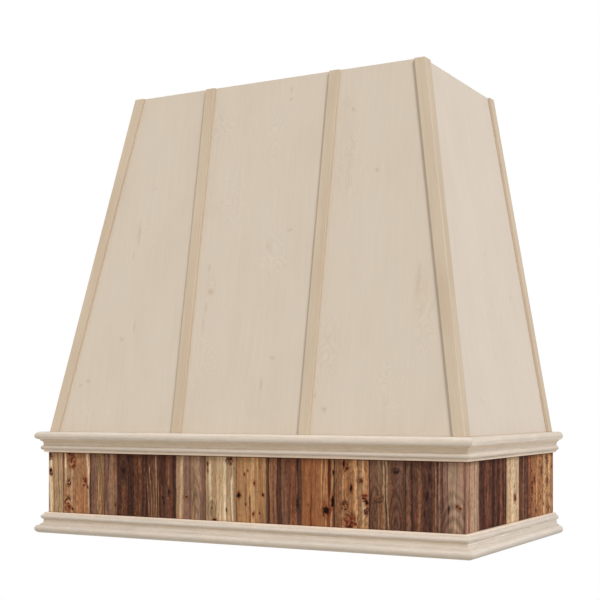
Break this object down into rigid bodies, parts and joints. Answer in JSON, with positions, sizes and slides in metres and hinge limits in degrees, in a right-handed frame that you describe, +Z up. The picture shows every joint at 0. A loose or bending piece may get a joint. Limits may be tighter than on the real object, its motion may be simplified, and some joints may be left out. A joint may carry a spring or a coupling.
{
  "type": "range hood cover",
  "caption": "Tapered wooden range hood cover with slim straps, a band of mixed wood strips between two mouldings, and a bevelled wall cleat it hooks on.",
  "frame": {"origin": "on the wall, at the middle of the wall cleat's length and half way up its front face", "axes": "+Z up, -Y out of the wall towards the room, X along the wall"},
  "size_m": [1.1156, 0.5994, 1.0553],
  "materials": {
    "maple_panel": "bare sanded pale maple, fine upright grain, matt",
    "maple_strap": "bare sanded warmer maple, grain along the strap, matt",
    "maple_moulding": "bare sanded cream maple, grain along the moulding, matt",
    "plywood": "plain birch plywood, unfinished",
    "poplar_frame": "plain sawn poplar, unfinished",
    "screw_steel": "zinc-plated wood screws",
    "strip_tan": "light tan hardwood with cream streaks and small knots, satin",
    "strip_orange": "orange-brown hardwood with dark knots, satin",
    "strip_honey": "honey-coloured pine-like wood with round knots, satin",
    "strip_cream": "cream sapwood with tan streaks, satin",
    "strip_taupe_walnut": "light grey-brown walnut with mauve stripes, satin",
    "strip_dark_walnut": "dark walnut with near-black stripes, satin",
    "strip_red_walnut": "dark red-brown walnut, satin"
  },
  "bodies": {
    "wall_cleat": {"wall_cleat": "poplar_frame"},
    "hood": {"apron_front": "plywood", "apron_left": "plywood", "apron_right": "plywood", "front_panel": "maple_panel", "front_plank_01": "strip_tan", "front_plank_02": "strip_orange", "front_plank_03": "strip_taupe_walnut", "front_plank_04": "strip_dark_walnut", "front_plank_05": "strip_red_walnut", "front_plank_06": "strip_taupe_walnut", "front_plank_07": "strip_cream", "front_plank_08": "strip_honey", "front_plank_09": "strip_dark_walnut", "front_plank_10": "strip_orange", "front_plank_11": "strip_tan", "front_plank_12": "strip_taupe_walnut", "front_plank_13": "strip_red_walnut", "front_plank_14": "strip_taupe_walnut", "front_strap_left": "maple_strap", "front_strap_left_corner": "maple_strap", "front_strap_right": "maple_strap", "front_strap_right_corner": "maple_strap", "hanging_rail": "poplar_frame", "hood_cleat": "poplar_frame", "hood_cleat_screws": "screw_steel", "insert_deck": "plywood", "left_corner_post": "poplar_frame", "left_plank_1": "strip_taupe_walnut", "left_plank_2": "strip_honey", "left_plank_3": "strip_dark_walnut", "left_plank_4": "strip_orange", "left_plank_5": "strip_cream", "left_plank_6": "strip_red_walnut", "left_plank_7": "strip_tan", "left_side_panel": "maple_panel", "left_strap_back": "maple_strap", "left_strap_front": "maple_strap", "lower_back_rail": "poplar_frame", "lower_moulding_front": "maple_moulding", "lower_moulding_left": "maple_moulding", "lower_moulding_right": "maple_moulding", "right_corner_post": "poplar_frame", "right_plank_1": "strip_tan", "right_plank_2": "strip_dark_walnut", "right_plank_3": "strip_red_walnut", "right_plank_4": "strip_cream", "right_plank_5": "strip_dark_walnut", "right_plank_6": "strip_orange", "right_plank_7": "strip_honey", "right_side_panel": "maple_panel", "right_strap_back": "maple_strap", "right_strap_front": "maple_strap", "sill_front": "poplar_frame", "sill_left": "poplar_frame", "sill_right": "poplar_frame", "top_rail_front": "poplar_frame", "upper_moulding_front": "maple_moulding", "upper_moulding_left": "maple_moulding", "upper_moulding_right": "maple_moulding"}
  },
  "joints": [
    {"name": "hood_lift", "type": "slide", "parent": "wall_cleat", "child": "hood", "axis": [0, 0, 1], "range_m": [0, 0.024]}
  ]
}
